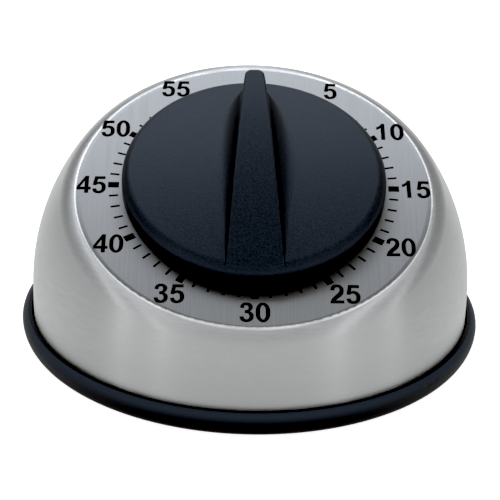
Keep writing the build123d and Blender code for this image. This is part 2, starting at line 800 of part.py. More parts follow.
# Mainspring: a flat strip wound in half turns, each one half a pitch larger
with BuildPart() as main_spring:
    inner_turn = SHAFT_RADIUS + TOUCH_GAP + SPRING_STRIP / 2
    with BuildSketch(dial.offset(-spring_bottom)):
        with BuildLine():
            for half in range(SPRING_HALF_TURNS):
                centre = (half % 2 * SPRING_PITCH / 2, 0)
                radius = inner_turn + half * SPRING_PITCH / 2
                CenterArc(centre, radius - SPRING_STRIP / 2, half % 2 * 180, 180)
                CenterArc(centre, radius + SPRING_STRIP / 2, half % 2 * 180, 180)
            for end in (inner_turn, inner_turn + SPRING_HALF_TURNS * SPRING_PITCH / 2):
                Line((end - SPRING_STRIP / 2, 0), (end + SPRING_STRIP / 2, 0))
        make_face()
    extrude(amount=spring_bottom - spring_top)
save(main_spring, "main_spring")
save(turned(post_spot, [(spring_top, back_bottom, SPRING_POST_RADIUS)]), "spring_post")

# Second arbor: pinion driven by the main wheel, its wheel, and the strike star at the back
second_steps = [
    (plate_top, inside + END_SHAKE, PIVOT_RADIUS),
    (inside + END_SHAKE, back_top - END_SHAKE, ARBOR_RADIUS),
    (back_top - END_SHAKE, lever_bottom + TOUCH_GAP, star_seat),
]
second_pinion = pinion(
    second_spot,
    second_steps,
    MAIN_MODULE,
    SECOND_ANGLE + 180 + half_leaf,
    main_top - LEAF_OVERHANG,
    main_bottom + LEAF_OVERHANG,
)
save(second_pinion, "second_pinion")
wheel_bore = ARBOR_RADIUS + SEAT_GAP
second_wheel = wheel(second_spot, second_top, second_bottom, SECOND_MODULE, THIRD_ANGLE, wheel_bore)
save(second_wheel, "second_wheel")

with BuildPart() as strike_star:
    with BuildSketch(spot_plane(second_spot, lever_bottom)):
        with BuildLine():
            corners = []
            for point in range(STAR_POINTS):
                turn = 2 * pi * point / STAR_POINTS
                corners += [polar(STAR_TIP, turn), polar(STAR_ROOT, turn + pi / STAR_POINTS)]
            Polyline(*corners, close=True)
        make_face()
        Circle(star_seat + SEAT_GAP, mode=Mode.SUBTRACT)
    extrude(amount=LEVER_SHEET)
save(strike_star, "strike_star")

# Third arbor and escape arbor
plain_steps = [
    (plate_top, inside + END_SHAKE, PIVOT_RADIUS),
    (inside + END_SHAKE, back_top - END_SHAKE, ARBOR_RADIUS),
    (back_top - END_SHAKE, back_bottom, PIVOT_RADIUS),
]
third_pinion = pinion(
    third_spot,
    plain_steps,
    SECOND_MODULE,
    THIRD_ANGLE + 180 + half_leaf,
    second_top - LEAF_OVERHANG,
    second_bottom + LEAF_OVERHANG,
)
save(third_pinion, "third_pinion")
third_wheel = wheel(third_spot, third_top, third_bottom, THIRD_MODULE, ESCAPE_ANGLE, wheel_bore)
save(third_wheel, "third_wheel")
escape_pinion = pinion(
    escape_spot,
    plain_steps,
    THIRD_MODULE,
    ESCAPE_ANGLE + 180 + half_leaf,
    third_top - LEAF_OVERHANG,
    third_bottom + LEAF_OVERHANG,
)
save(escape_pinion, "escape_pinion")

# Escape wheel: saw teeth with a steep front face
with BuildPart() as escape_wheel:
    with BuildSketch(spot_plane(escape_spot, escape_bottom)):
        with BuildLine():
            corners = []
            for tooth in range(ESCAPE_TEETH):
                turn = 2 * pi * tooth / ESCAPE_TEETH
                corners += [
                    polar(ESCAPE_TIP, turn),
                    polar(ESCAPE_TIP, turn + radians(ESCAPE_LAND)),
                    polar(ESCAPE_ROOT, turn + radians(ESCAPE_LAND + ESCAPE_FACE)),
                ]
            Polyline(*corners, close=True)
        make_face()
        Circle(wheel_bore, mode=Mode.SUBTRACT)
    extrude(amount=escape_bottom - escape_top)
save(escape_wheel, "escape_wheel")

# Balance: arbor, pin pallets that straddle the escape wheel, and a weighted bar
save(turned(balance_spot, plain_steps), "balance_arbor")
pin_ring = ESCAPE_TIP + PALLET_PIN_RADIUS + PALLET_PIN_CLEARANCE
pin_spots = [away(escape_spot, pin_ring, BALANCE_ANGLE + side) for side in (-PALLET_SPAN, PALLET_SPAN)]
with BuildPart() as pallet_lever:
    with BuildSketch(dial.offset(-pallet_bottom)):
        for pin_spot in pin_spots:
            with BuildLine() as arm:
                Line(balance_spot, pin_spot)
            trace(arm.edges(), PALLET_ARM)
        with Locations(*pin_spots):
            Circle(PALLET_BOSS)
        with Locations(balance_spot):
            Circle(PALLET_HUB)
            Circle(wheel_bore, mode=Mode.SUBTRACT)
        with Locations(*pin_spots):
            Circle(PALLET_PIN_RADIUS + SEAT_GAP, mode=Mode.SUBTRACT)
    extrude(amount=PALLET_SHEET)
save(pallet_lever, "pallet_lever")

with BuildPart() as pallet_pins:
    pin_bottom = escape_bottom + NOSE_GAP
    with BuildSketch(dial.offset(-pin_bottom)):
        with Locations(*pin_spots):
            Circle(PALLET_PIN_RADIUS)
    extrude(amount=pin_bottom - pallet_top)
save(pallet_pins, "pallet_pins")

with BuildPart() as balance_bar:
    with BuildSketch(spot_plane(balance_spot, balance_bottom)):
        Rectangle(2 * (BALANCE_HALF - BALANCE_WEIGHT), BALANCE_WIDTH)
        with GridLocations(2 * (BALANCE_HALF - BALANCE_WEIGHT), 1, 2, 1):
            Circle(BALANCE_WEIGHT)
        Circle(wheel_bore, mode=Mode.SUBTRACT)
    extrude(amount=BALANCE_HEIGHT)
save(balance_bar, "balance_bar")

# Bell: a round-bottomed cup that opens towards the movement
with BuildPart() as bell:
    wall_bottom = -crown_depth + BELL_ROUND
    flat_radius = BELL_RADIUS - BELL_ROUND
    with BuildSketch(side_plane(BELL_PLACE)):
        with BuildLine():
            Line((BELL_RADIUS, -rim_depth), (BELL_RADIUS, wall_bottom))
            CenterArc((flat_radius, wall_bottom), BELL_ROUND, 0, -90)
            Polyline(
                (flat_radius, -crown_depth),
                (BELL_SCREW_RADIUS + TOUCH_GAP, -crown_depth),
                (BELL_SCREW_RADIUS + TOUCH_GAP, -crown_depth + BELL_SHEET),
                (flat_radius, -crown_depth + BELL_SHEET),
            )
            CenterArc((flat_radius, wall_bottom), BELL_ROUND - BELL_SHEET, -90, 90)
            Polyline(
                (BELL_RADIUS - BELL_SHEET, wall_bottom),
                (BELL_RADIUS - BELL_SHEET, -rim_depth),
                (BELL_RADIUS, -rim_depth),
            )
        make_face()
    revolve(axis=spot_axis(BELL_PLACE))
save(bell, "bell")

# Bell post, tapped from below, and the screw that clamps the bell
with BuildPart() as bell_post:
    post_bottom = crown_depth - BELL_SHEET
    with BuildSketch(spot_plane(BELL_PLACE, post_bottom)):
        Circle(BELL_POST_RADIUS)
    extrude(amount=post_bottom - back_bottom)
    with BuildSketch(spot_plane(BELL_PLACE, post_bottom)):
        Circle(BELL_SCREW_RADIUS + SEAT_GAP)
    extrude(amount=BELL_SCREW_LENGTH, mode=Mode.SUBTRACT)
save(bell_post, "bell_post")

with BuildPart() as bell_screw:
    head_bottom = crown_depth + BELL_HEAD_HEIGHT
    with BuildSketch(spot_plane(BELL_PLACE, head_bottom)):
        Circle(BELL_HEAD_RADIUS)
    extrude(amount=BELL_HEAD_HEIGHT)
    with BuildSketch(spot_plane(BELL_PLACE, crown_depth)):
        Circle(BELL_SCREW_RADIUS)
    extrude(amount=BELL_SCREW_LENGTH)
    with BuildSketch(spot_plane(BELL_PLACE, head_bottom)):
        Rectangle(CUTTER_REACH * BELL_HEAD_RADIUS, RECESS_WIDTH)
    extrude(amount=RECESS_DEPTH, mode=Mode.SUBTRACT)
save(bell_screw, "bell_screw")

# Hammer lever: a tail over the star, a nose under the cam, and an arm for the hammer
tail_height = STAR_TIP + TAIL_GAP + LEVER_ARM / 2
hammer_pivot = (second_spot[0] + TAIL_LENGTH, second_spot[1] + tail_height)
tail_end = (second_spot[0], second_spot[1] + tail_height)
nose_tip = (0.0, -CAM_RADIUS - NOSE_GAP)
nose_line = nose_tip[1] - NOSE_LENGTH - LEVER_ARM / 2
nose_bend = (hammer_pivot[0] + NOSE_BEND, nose_line)
hammer_reach = BELL_RADIUS - BELL_SHEET - HAMMER_GAP - HAMMER_RADIUS
hammer_spot = away(BELL_PLACE, hammer_reach, HAMMER_ANGLE)
with BuildPart() as hammer_lever:
    with BuildSketch(dial.offset(-lever_bottom)):
        with BuildLine() as tail_arm:
            Polyline(tail_end, hammer_pivot, hammer_spot)
        trace(tail_arm.edges(), LEVER_ARM)
        with BuildLine() as nose_arm:
            Polyline(hammer_pivot, nose_bend, (nose_tip[0], nose_line))
        trace(nose_arm.edges(), LEVER_ARM)
        with Locations(nose_tip):
            Rectangle(
                LEVER_ARM,
                NOSE_LENGTH + LEVER_ARM,
                align=(Align.CENTER, Align.MAX),
            )
        with Locations(hammer_pivot):
            Circle(LEVER_HUB)
        with Locations(hammer_spot):
            Circle(HAMMER_RADIUS)
        with Locations(hammer_pivot):
            Circle(HAMMER_PIN_RADIUS + RUNNING_FIT, mode=Mode.SUBTRACT)
    extrude(amount=LEVER_SHEET)
save(hammer_lever, "hammer_lever")
hammer_steps = [(lever_bottom, lever_bottom + HAMMER_LENGTH, HAMMER_RADIUS)]
save(turned(hammer_spot, hammer_steps), "hammer_head")
hammer_pin = turned(
    hammer_pivot,
    [
        (back_bottom, lever_bottom + END_SHAKE, HAMMER_PIN_RADIUS),
        (lever_bottom + END_SHAKE, lever_bottom + END_SHAKE + HAMMER_PIN_CAP, HAMMER_PIN_HEAD),
    ],
)
save(hammer_pin, "hammer_pin")

# Hammer spring: a leaf held in a stud, its free end under the nose arm
leaf_line = nose_line - LEVER_ARM / 2 - TOUCH_GAP - LEAF / 2
leaf_middle = lever_top + LEVER_SHEET / 2
stud_spot = (LEAF_START, leaf_line)
with BuildPart() as spring_stud:
    add(turned(stud_spot, [(back_bottom, lever_bottom, STUD_RADIUS)]).part)
    with BuildSketch(spot_plane(stud_spot, lever_bottom)):
        Rectangle(CUTTER_REACH * STUD_RADIUS, LEAF + 2 * SEAT_GAP)
    extrude(amount=LEVER_SHEET, mode=Mode.SUBTRACT)
save(spring_stud, "spring_stud")

with BuildPart() as hammer_spring:
    with BuildSketch(dial.offset(-leaf_middle - LEAF_WIDTH / 2)):
        with Locations((LEAF_START - STUD_RADIUS, leaf_line)):
            Rectangle(
                LEAF_END - LEAF_START + STUD_RADIUS,
                LEAF,
                align=(Align.MIN, Align.CENTER),
            )
    extrude(amount=LEAF_WIDTH)
save(hammer_spring, "hammer_spring")
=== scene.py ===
"""Looks of a wind-up kitchen timer: finishes, printed dial, floor, light and camera."""
import json
from math import cos, pi, radians, sin

import bmesh
import bpy
from mathutils import Matrix, Vector


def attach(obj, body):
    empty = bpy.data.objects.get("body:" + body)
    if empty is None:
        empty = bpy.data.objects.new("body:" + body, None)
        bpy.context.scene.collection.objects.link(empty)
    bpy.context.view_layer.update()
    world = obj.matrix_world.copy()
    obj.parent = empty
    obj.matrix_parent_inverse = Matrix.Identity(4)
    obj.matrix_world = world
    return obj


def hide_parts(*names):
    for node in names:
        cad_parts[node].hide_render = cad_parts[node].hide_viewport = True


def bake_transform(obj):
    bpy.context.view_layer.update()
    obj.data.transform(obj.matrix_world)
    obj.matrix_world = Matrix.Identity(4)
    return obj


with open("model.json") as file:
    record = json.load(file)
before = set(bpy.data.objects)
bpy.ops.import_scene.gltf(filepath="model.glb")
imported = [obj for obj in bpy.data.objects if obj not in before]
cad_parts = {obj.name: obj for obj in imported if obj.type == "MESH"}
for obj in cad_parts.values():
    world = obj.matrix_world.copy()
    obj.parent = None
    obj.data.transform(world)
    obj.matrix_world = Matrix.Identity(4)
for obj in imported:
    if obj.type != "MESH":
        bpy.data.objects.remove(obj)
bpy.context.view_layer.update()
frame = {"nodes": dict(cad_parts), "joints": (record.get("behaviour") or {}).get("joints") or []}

MM = 0.001

# The dial's own frame: right, up and out of its face, from the joint of the knob
knob_joint = next(joint for joint in frame["joints"] if joint["name"] == "knob_turn")
dial_centre = Vector(knob_joint["pos_m"])
dial_out = -Vector(knob_joint["axis"]).normalized()
dial_right = Vector((1.0, 0.0, 0.0))
dial_up = dial_out.cross(dial_right)
dial_place = Matrix((dial_right, dial_up, dial_out)).transposed().to_4x4()
dial_place.translation = dial_centre
dial_turn = dial_place.to_euler()


# Materials

# Most of a noise lies between these two values
NOISE_LOW = 0.3
NOISE_HIGH = 0.7
# Heights out of the dial's face, in mm, where its rounded edge turns into the painted highlight line and
# the face
EDGE_FROM = -0.13
EDGE_FULL = -0.05
FACE_FROM = -0.04
FACE_FULL = -0.004
# How much lower the painted highlight line lies, in mm for each square mm to the side
EDGE_DIP = 0.00005
# Size of the patches in mm where the painted highlight on the edge is stronger or weaker, and its least
# share
HIGHLIGHT_PATCH = 9.0
HIGHLIGHT_LOW = 0.35
HIGHLIGHT_HIGH = 0.6
HIGHLIGHT_LEAST = 0.4


def linear(code):
    """The linear colour of an sRGB code such as "#C0C0C0"."""
    channels = [int(code[i:i + 2], 16) / 255 for i in (1, 3, 5)]
    return [c / 12.92 if c <= 0.04045 else ((c + 0.055) / 1.055) ** 2.4 for c in channels] + [1.0]


def add(tree, kind, inputs=None, **settings):
    """Adds a node with its settings, and sets or links its inputs; returns the node."""
    node = tree.nodes.new(kind)
    for name, value in settings.items():
        setattr(node, name, value)
    for key, value in (inputs or {}).items():
        if isinstance(value, bpy.types.NodeSocket):
            tree.links.new(value, node.inputs[key])
        else:
            node.inputs[key].default_value = value
    return node


def new_material(name, **constants):
    """A material with its shader's own constants; returns it with its tree, shader and coordinates."""
    material = bpy.data.materials.new(name)
    material.use_nodes = True
    tree = material.node_tree
    shader = tree.nodes["Principled BSDF"]
    for key, value in constants.items():
        shader.inputs[key.replace("_", " ")].default_value = value
    place = add(tree, "ShaderNodeTexCoord").outputs["Object"]
    return material, tree, shader, place


def grain_noise(tree, place, sizes, detail=2.0, on_dial=True):
    """Noise with grains of these sizes in mm, along the dial's right, up and out or along x, y and z."""
    mapping = add(tree, "ShaderNodeMapping", {"Vector": place, "Scale": [MM * s for s in sizes]},
                  vector_type="TEXTURE")
    if on_dial:
        mapping.inputs["Location"].default_value = dial_centre
        mapping.inputs["Rotation"].default_value = dial_turn
    noise = add(tree, "ShaderNodeTexNoise", {
        "Vector": mapping.outputs["Vector"], "Scale": 1.0, "Detail": detail, "Roughness": 0.6,
    })
    return noise.outputs["Fac"]


def two_colours(tree, value, dark, light):
    """The colour between two codes over the usual spread of a noise."""
    ramp = add(tree, "ShaderNodeValToRGB", {"Fac": value})
    low, high = ramp.color_ramp.elements
    low.position = NOISE_LOW
    low.color = linear(dark)
    high.position = NOISE_HIGH
    high.color = linear(light)
    return ramp.outputs["Color"]


def smooth_step(tree, value, start, end, low=0.0, high=1.0):
    """A number that eases from low to high as the value goes from start to end."""
    step = add(tree, "ShaderNodeMapRange", {
        "Value": value, "From Min": start, "From Max": end, "To Min": low, "To Max": high,
    }, interpolation_type="SMOOTHSTEP")
    return step.outputs["Result"]


def times(tree, first, second):
    """The product of two numbers."""
    return add(tree, "ShaderNodeMath", {0: first, 1: second}, operation="MULTIPLY").outputs["Value"]


def mix_colours(tree, share, first, second):
    """The first colour turning into the second as the share goes from 0 to 1."""
    mix = add(tree, "ShaderNodeMix", {"Factor": share, 6: first, 7: second}, data_type="RGBA")
    return mix.outputs[2]


def mix_ways(tree, share, first, second):
    """The first direction turning into the second as the share goes from 0 to 1."""
    mix = add(tree, "ShaderNodeMix", {"Factor": share, 4: first, 5: second}, data_type="VECTOR")
    return mix.outputs[1]


def mix_numbers(tree, share, first, second):
    """The first number turning into the second as the share goes from 0 to 1."""
    return add(tree, "ShaderNodeMix", {"Factor": share, "A": first, "B": second}).outputs["Result"]


def paint(tree, shader, colour):
    """Gives the shader its base colour."""
    tree.links.new(colour, shader.inputs["Base Color"])


def rough_between(tree, shader, value, low, high):
    """Roughness between two numbers over the usual spread of a noise."""
    spread = add(tree, "ShaderNodeMapRange", {
        "Value": value, "From Min": NOISE_LOW, "From Max": NOISE_HIGH, "To Min": low, "To Max": high,
    })
    tree.links.new(spread.outputs["Result"], shader.inputs["Roughness"])


def raised(tree, shader, value, depth):
    """A bump of this depth in mm over the value."""
    bump = add(tree, "ShaderNodeBump", {"Height": value, "Distance": depth * MM, "Strength": 1.0})
    tree.links.new(bump.outputs["Normal"], shader.inputs["Normal"])


def brushed_stainless():
    """Dome sheet: straight brush lines up the dial, a painted highlight line on the dial's edge, lines
    round the dome.
    """
    material, tree, shader, place = new_material("stainless_sheet_brushed", Metallic=1.0, Anisotropic=0.92)
    # Real brush lines are about 0.05 mm wide; drawn at 0.3 mm so that they show
    up_dial = grain_noise(tree, place, (0.3, 14.0, 14.0))
    round_dome = grain_noise(tree, place, (3.0, 3.0, 0.3), on_dial=False)
    in_dial = add(tree, "ShaderNodeMapping", {
        "Vector": place, "Location": dial_centre, "Rotation": dial_turn, "Scale": (MM, MM, MM),
    }, vector_type="TEXTURE")
    spot = add(tree, "ShaderNodeSeparateXYZ", {"Vector": in_dial.outputs["Vector"]})
    # The painted highlight line lies a little lower on the round at the two sides than at the front
    aside = times(tree, spot.outputs["X"], spot.outputs["X"])
    height = add(tree, "ShaderNodeMath", {
        0: aside, 1: EDGE_DIP, 2: spot.outputs["Z"],
    }, operation="MULTIPLY_ADD").outputs["Value"]
    on_dial = smooth_step(tree, height, FACE_FROM, FACE_FULL)
    on_edge = smooth_step(tree, height, EDGE_FROM, EDGE_FULL)
    lines = mix_numbers(tree, on_dial, round_dome, up_dial)
    # One sheet in two greys: the dial face is painted darker than the dome, painted shade against the
    # bright light the face catches
    dome = two_colours(tree, lines, "#C9CBCC", "#D3D5D6")
    dial = two_colours(tree, lines, "#929496", "#9EA0A2")
    sheet = mix_colours(tree, on_dial, dome, dial)
    off_dial = add(tree, "ShaderNodeMath", {0: 1.0, 1: on_dial}, operation="SUBTRACT").outputs["Value"]
    uneven = add(tree, "ShaderNodeMapRange", {
        "Value": grain_noise(tree, place, (HIGHLIGHT_PATCH, HIGHLIGHT_PATCH, HIGHLIGHT_PATCH)),
        "From Min": HIGHLIGHT_LOW, "From Max": HIGHLIGHT_HIGH, "To Min": HIGHLIGHT_LEAST, "To Max": 1.0,
    }).outputs["Result"]
    # Painted highlight: a white line painted on the dial's rounded edge, stronger or weaker in patches
    painted_highlight = times(tree, times(tree, on_edge, off_dial), uneven)
    paint(tree, shader, mix_colours(tree, painted_highlight, sheet, linear("#FFFFFF")))
    rough_between(tree, shader, lines, 0.36, 0.46)
    raised(tree, shader, lines, 0.002)
    # The sheen spreads across the brush lines: up the dome, outward on the edge, to the right on the dial
    away = add(tree, "ShaderNodeVectorMath", {0: place, 1: dial_centre}, operation="SUBTRACT")
    outward = add(tree, "ShaderNodeVectorMath", {0: away.outputs["Vector"]}, operation="NORMALIZE")
    beside = mix_ways(tree, on_edge, (0, 0, 1), outward.outputs["Vector"])
    tree.links.new(mix_ways(tree, on_dial, beside, dial_right), shader.inputs["Tangent"])
    return material


def moulded_black(name, dark, light, smooth, rough, grain, depth, painted_top_light=None, **constants):
    """Black plastic or rubber from a mould: fine even grain, a soft sheen, a painted light band between
    two heights.
    """
    material, tree, shader, place = new_material(name, **constants)
    value = grain_noise(tree, place, (grain, grain, grain))
    colour = two_colours(tree, value, dark, light)
    if painted_top_light:
        # Painted light: a lighter colour painted on a band of heights on the upper side
        code, start, full, fade, end = painted_top_light
        up = add(tree, "ShaderNodeSeparateXYZ", {"Vector": place}).outputs["Z"]
        rise = smooth_step(tree, up, start * MM, full * MM)
        fall = smooth_step(tree, up, end * MM, fade * MM)
        colour = mix_colours(tree, times(tree, rise, fall), colour, linear(code))
    paint(tree, shader, colour)
    rough_between(tree, shader, value, smooth, rough)
    raised(tree, shader, value, depth)
    return material


def worked_metal(name, dark, light, smooth, rough, sizes, depth):
    """Metal whose marks have these sizes in mm along the dial's right, up and out."""
    material, tree, shader, place = new_material(name, Metallic=1.0)
    value = grain_noise(tree, place, sizes)
    paint(tree, shader, two_colours(tree, value, dark, light))
    rough_between(tree, shader, value, smooth, rough)
    raised(tree, shader, value, depth)
    return material


steel_sheet = brushed_stainless()
# Knob: black with a cool sheen and the fine matt grain of an etched mould
knob_plastic = moulded_black("abs_moulded_matt", "#090B0E", "#22272E", 0.40, 0.50, 0.35, 0.03,
                             Specular_IOR_Level=0.58, Specular_Tint=linear("#CFE4FF"))
# Ring: duller than the knob, rubber with a lighter grey painted on its upper side as painted light from
# above
ring_rubber = moulded_black("rubber_moulded_bead", "#131519", "#1A1D21", 0.50, 0.60, 0.6, 0.01,
                            painted_top_light=("#383F49", 3.5, 5.0, 5.1, 5.2), Specular_IOR_Level=0.37,
                            Specular_Tint=linear("#D8E8FF"))
# Floor of the case: plain dull black
base_plastic = moulded_black("polypropylene_moulded", "#121314", "#17181A", 0.52, 0.62, 0.5, 0.02)
# Print: dead black ink, a touch uneven at the grain of the screen
dial_ink = moulded_black("ink_screen_printed", "#060606", "#0B0B0B", 0.6, 0.75, 0.25, 0.002,
                         Specular_IOR_Level=0.2)
# Plates and wheels: yellow brass with the straight grain of rolled sheet
brass_sheet = worked_metal("brass_rolled", "#B9A067", "#CDB67C", 0.24, 0.36, (0.3, 9.0, 9.0), 0.003)
# Posts, bush and nut: yellow brass with rings from the lathe
brass_turned = worked_metal("brass_turned", "#BCA46B", "#D4BD84", 0.16, 0.28, (9.0, 9.0, 0.25), 0.004)
# Arbors, pinions, pins: bright grey steel with rings from the lathe
steel_turned = worked_metal("steel_turned", "#A4A5A6", "#BFC0C1", 0.16, 0.28, (9.0, 9.0, 0.25), 0.004)
# Levers, cam, star and washers: duller grey steel with a tumbled mottle
steel_pressed = worked_metal("steel_pressed", "#8F9091", "#A9AAAB", 0.30, 0.45, (0.7, 0.7, 0.7), 0.004)
# Springs and clip: dark blue-grey of tempered steel
steel_blued = worked_metal("spring_steel_blued", "#2E3644", "#4A5568", 0.22, 0.34, (2.5, 2.5, 0.5), 0.002)
# Bell: bright, slightly warm plating with a soft ripple from drawing
nickel = worked_metal("steel_nickel_plated", "#B5B0A6", "#CBC6BC", 0.10, 0.18, (4.0, 4.0, 4.0), 0.01)
# Screws and brackets: pale bluish plating with a cloudy spangle
zinc = worked_metal("steel_zinc_plated", "#9DA3A8", "#BCC1C4", 0.28, 0.42, (1.2, 1.2, 1.2), 0.004)

FINISHES = {
    "dome_shell": steel_sheet, "base_plate": base_plastic, "base_ring": ring_rubber, "knob": knob_plastic,
    "base_screws": zinc, "shell_brackets": zinc, "pillar_screws": zinc, "bell_screw": zinc,
    "front_plate": brass_sheet, "back_plate": brass_sheet, "main_wheel": brass_sheet,
    "second_wheel": brass_sheet, "third_wheel": brass_sheet, "escape_wheel": brass_sheet,
    "balance_bar": brass_sheet, "plate_pillars": brass_turned, "centre_bush": brass_turned,
    "centre_nut": brass_turned, "spring_post": brass_turned, "bell_post": brass_turned,
    "spring_stud": brass_turned, "main_arbor": steel_turned, "second_pinion": steel_turned,
    "third_pinion": steel_turned, "escape_pinion": steel_turned, "balance_arbor": steel_turned,
    "pallet_pins": steel_turned, "locating_pin": steel_turned, "hammer_pin": steel_turned,
    "hammer_head": steel_turned, "clutch_collar": steel_turned, "dial_washer": steel_pressed,
    "trip_cam": steel_pressed, "strike_star": steel_pressed, "pallet_lever": steel_pressed,
    "hammer_lever": steel_pressed, "main_spring": steel_blued, "clutch_spring": steel_blued,
    "hammer_spring": steel_blued, "knob_clip": steel_blued, "bell": nickel,
}
for name, node in frame["nodes"].items():
    node.data.materials.clear()
    node.data.materials.append(FINISHES[name])


# Printed dial

INK_THICKNESS = 0.02 * MM
NUMBER_RADIUS = 29.96 * MM
NUMBER_HEIGHT = 4.32 * MM
DIGIT_STEP = 0.661
DIGIT_WIDTH = 0.586
TICK_INNER = 25.04 * MM
TICK_OUTER = 26.74 * MM
TICK_WIDTH = 0.42 * MM
BLOCK_WIDTH = 1.35 * MM
BLOCK_LONGER = 0.3 * MM
# Numbers that the screen prints a little off their minute, in mm to the right and up
NUDGES = {20: (0.4, 0.6), 25: (0.9, 0.4), 40: (-0.2, 0.5), 50: (-0.2, -0.25)}

# Digit outlines one unit tall, drawn as corners (C) and smooth points (S)
C, S = "VECTOR", "AUTO"
DIGITS = {
    "0": (
        ((0.293, 1.012, S), (0.5, 0.88, S), (0.586, 0.5, S), (0.5, 0.12, S),
         (0.293, -0.012, S), (0.086, 0.12, S), (0, 0.5, S), (0.086, 0.88, S)),
        ((0.293, 0.87, S), (0.378, 0.77, S), (0.408, 0.5, S), (0.378, 0.23, S),
         (0.293, 0.13, S), (0.208, 0.23, S), (0.178, 0.5, S), (0.208, 0.77, S)),
    ),
    "1": (
        ((0.42, 0, C), (0.42, 1, C), (0.28, 1, C), (0.2, 0.865, S), (0.05, 0.775, C),
         (0.05, 0.62, C), (0.16, 0.665, S), (0.245, 0.735, C), (0.245, 0, C)),
    ),
    "2": (
        ((0.005, 0, C), (0.575, 0, C), (0.575, 0.16, C), (0.25, 0.16, C), (0.34, 0.265, S),
         (0.51, 0.45, S), (0.575, 0.7, S), (0.5, 0.92, S), (0.3, 1.005, S), (0.1, 0.925, S),
         (0.02, 0.7, C), (0.19, 0.68, C), (0.22, 0.805, S), (0.297, 0.86, S), (0.375, 0.82, S),
         (0.4, 0.705, S), (0.355, 0.575, S), (0.2, 0.4, S), (0.06, 0.21, S)),
    ),
    "3": (
        ((0.025, 0.735, C), (0.105, 0.935, S), (0.285, 1.008, S), (0.485, 0.925, S), (0.55, 0.745, S),
         (0.435, 0.535, C), (0.545, 0.44, S), (0.582, 0.295, S), (0.495, 0.07, S), (0.285, -0.012, S),
         (0.085, 0.06, S), (0, 0.265, C), (0.17, 0.29, C), (0.205, 0.175, S), (0.285, 0.13, S),
         (0.38, 0.185, S), (0.404, 0.3, S), (0.355, 0.425, S), (0.215, 0.455, C), (0.23, 0.6, C),
         (0.345, 0.635, S), (0.375, 0.735, S), (0.35, 0.83, S), (0.278, 0.867, S), (0.21, 0.83, S),
         (0.19, 0.71, C)),
    ),
    "4": (
        ((0.335, 0, C), (0.505, 0, C), (0.505, 0.2, C), (0.605, 0.2, C), (0.605, 0.355, C),
         (0.505, 0.355, C), (0.505, 1, C), (0.36, 1, C), (0, 0.365, C), (0, 0.2, C), (0.335, 0.2, C)),
        ((0.335, 0.355, C), (0.335, 0.71, C), (0.14, 0.355, C)),
    ),
    "5": (
        ((0.1, 0.985, C), (0.545, 0.985, C), (0.545, 0.825, C), (0.235, 0.825, C), (0.208, 0.64, C),
         (0.31, 0.67, S), (0.505, 0.58, S), (0.584, 0.335, S), (0.5, 0.085, S), (0.28, -0.012, S),
         (0.085, 0.055, S), (0, 0.25, C), (0.175, 0.275, C), (0.21, 0.17, S), (0.288, 0.13, S),
         (0.378, 0.185, S), (0.406, 0.335, S), (0.372, 0.48, S), (0.286, 0.53, S), (0.208, 0.51, S),
         (0.155, 0.455, C), (0.015, 0.475, C)),
    ),
}


def link_mesh(name, mesh, material):
    """An object of the mesh, with its material, in the scene."""
    mesh.materials.clear()
    mesh.materials.append(material)
    piece = bpy.data.objects.new(name, mesh)
    bpy.context.scene.collection.objects.link(piece)
    return piece


def on_ring(minute, radius):
    """The spot on the dial at a minute and a radius, clockwise from the top."""
    turn = 2 * pi * minute / 60
    return Vector((radius * sin(turn), radius * cos(turn), 0.0))


def dial_numbers():
    """Upright numbers from 5 to 55 round the dial, as one thin print."""
    curve = bpy.data.curves.new("dial_numbers", "CURVE")
    curve.dimensions = "2D"
    curve.fill_mode = "BOTH"
    curve.resolution_u = 6
    curve.extrude = INK_THICKNESS / 2
    for minute in range(5, 60, 5):
        digits = str(minute)
        width = DIGIT_STEP * (len(digits) - 1) + DIGIT_WIDTH
        nudge = Vector((*NUDGES.get(minute, (0, 0)), 0)) * MM
        corner = on_ring(minute, NUMBER_RADIUS) + nudge - Vector((width / 2, 0.5, 0)) * NUMBER_HEIGHT
        for index, digit in enumerate(digits):
            for outline in DIGITS[digit]:
                spline = curve.splines.new("BEZIER")
                spline.bezier_points.add(len(outline) - 1)
                spline.use_cyclic_u = True
                for point, (x, y, kind) in zip(spline.bezier_points, outline):
                    point.co = corner + Vector((x + DIGIT_STEP * index, y, 0)) * NUMBER_HEIGHT
                    point.handle_left_type = kind
                    point.handle_right_type = kind
    shape = bpy.data.objects.new("dial_numbers_outline", curve)
    bpy.context.scene.collection.objects.link(shape)
    bpy.context.view_layer.update()
    mesh = bpy.data.meshes.new_from_object(shape)
    bpy.data.objects.remove(shape)
    mesh.transform(dial_place @ Matrix.Translation((0, 0, INK_THICKNESS / 2)))
    form = bmesh.new()
    form.from_mesh(mesh)
    bmesh.ops.remove_doubles(form, verts=form.verts, dist=0.0005 * MM)
    bmesh.ops.recalc_face_normals(form, faces=form.faces)
    form.to_mesh(mesh)
    form.free()
    mesh.name = "dial_numbers"
    return link_mesh("dial_numbers", mesh, dial_ink)


def dial_ticks():
    """A tick at each minute and a block at each fifth, as one thin print."""
    form = bmesh.new()
    for minute in range(60):
        width = TICK_WIDTH if minute % 5 else BLOCK_WIDTH
        length = TICK_OUTER - TICK_INNER + (0.0 if minute % 5 else BLOCK_LONGER)
        spot = on_ring(minute, (TICK_INNER + TICK_OUTER) / 2)
        spot.z = INK_THICKNESS / 2
        place = dial_place @ Matrix.Translation(spot) @ Matrix.Rotation(-2 * pi * minute / 60, 4, "Z")
        scale = Matrix.Diagonal((width, length, INK_THICKNESS, 1.0))
        bmesh.ops.create_cube(form, size=1.0, matrix=place @ scale)
    mesh = bpy.data.meshes.new("dial_ticks")
    form.to_mesh(mesh)
    form.free()
    return link_mesh("dial_ticks", mesh, dial_ink)


for piece in (dial_numbers(), dial_ticks()):
    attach(piece, "case")


# Leaf spring of the hammer lever, cut into short lengths

LEAF_CUTS = 23


